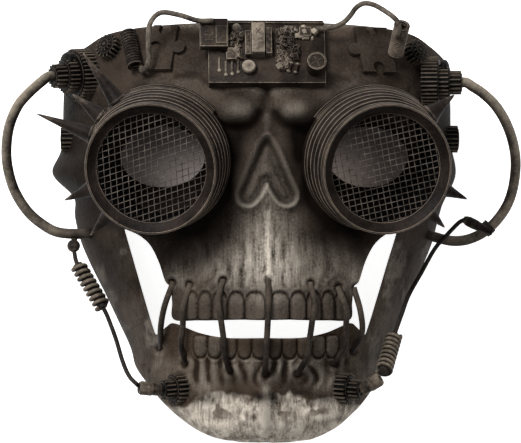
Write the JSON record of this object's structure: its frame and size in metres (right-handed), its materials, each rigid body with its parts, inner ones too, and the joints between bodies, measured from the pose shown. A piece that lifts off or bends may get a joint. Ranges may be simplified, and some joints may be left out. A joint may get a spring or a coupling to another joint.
{
  "type": "steampunk skull mask",
  "caption": "Rigid full-face skull mask with round wire-net goggles, spikes, gears, hoses, forehead electronics and wires stitched across the open mouth; lies face up on its rim.",
  "frame": {"origin": "middle of the mask's outline on the surface that its back rim lies on", "axes": "+X to the viewer's right, +Y towards the forehead, +Z out of the face"},
  "size_m": [0.2616, 0.2184, 0.112],
  "materials": {
    "bone": "dark grey-brown paint, dry-brushed, matte",
    "jaw_bone": "bone-grey paint with dark wash, matte",
    "dark_cast": "near-black cast resin, satin",
    "gear": "dark cast resin with grey highlights",
    "wire_net": "thin dull wire",
    "hose": "worn grey-brown rubber",
    "wire": "sheathed wire, worn"
  },
  "bodies": {
    "root": {"skull_face": "bone", "jaw": "jaw_bone", "goggle_base_left": "dark_cast", "goggle_ring_left": "dark_cast", "goggle_mesh_left": "wire_net", "temple_gear_large_left": "gear", "temple_gear_hub_left": "gear", "forehead_gear_left": "gear", "side_gear_left": "gear", "jaw_gear_left": "gear", "hose_left": "hose", "lower_spring_left": "wire", "lower_connector_left": "wire", "top_wire_left": "wire", "forehead_stub_left": "dark_cast", "puzzle_plate_left": "bone", "goggle_base_right": "dark_cast", "goggle_ring_right": "dark_cast", "goggle_mesh_right": "wire_net", "temple_gear_large_right": "gear", "temple_gear_hub_right": "gear", "forehead_gear_right": "gear", "side_gear_right": "gear", "jaw_gear_right": "gear", "hose_right": "hose", "lower_spring_right": "wire", "lower_connector_right": "wire", "top_wire_right": "wire", "forehead_stub_right": "dark_cast", "puzzle_plate_right": "bone", "spike_left_1": "dark_cast", "spike_left_2": "dark_cast", "spike_left_3": "dark_cast", "spike_left_4": "dark_cast", "spike_left_5": "dark_cast", "spike_right_1": "dark_cast", "spike_right_2": "dark_cast", "spike_right_3": "dark_cast", "hose_plug": "dark_cast", "hanging_ball": "dark_cast", "chip_module": "dark_cast", "hose_wrap": "wire", "lower_wire_left_top": "wire", "lower_wire_left_bottom": "wire", "lower_wire_right": "wire", "stitch_1": "wire", "stitch_2": "wire", "stitch_3": "wire", "stitch_4": "wire", "stitch_5": "wire", "stitch_6": "wire", "stitch_7": "wire", "circuit_board": "gear", "capacitor_can": "gear"}
  },
  "joints": []
}
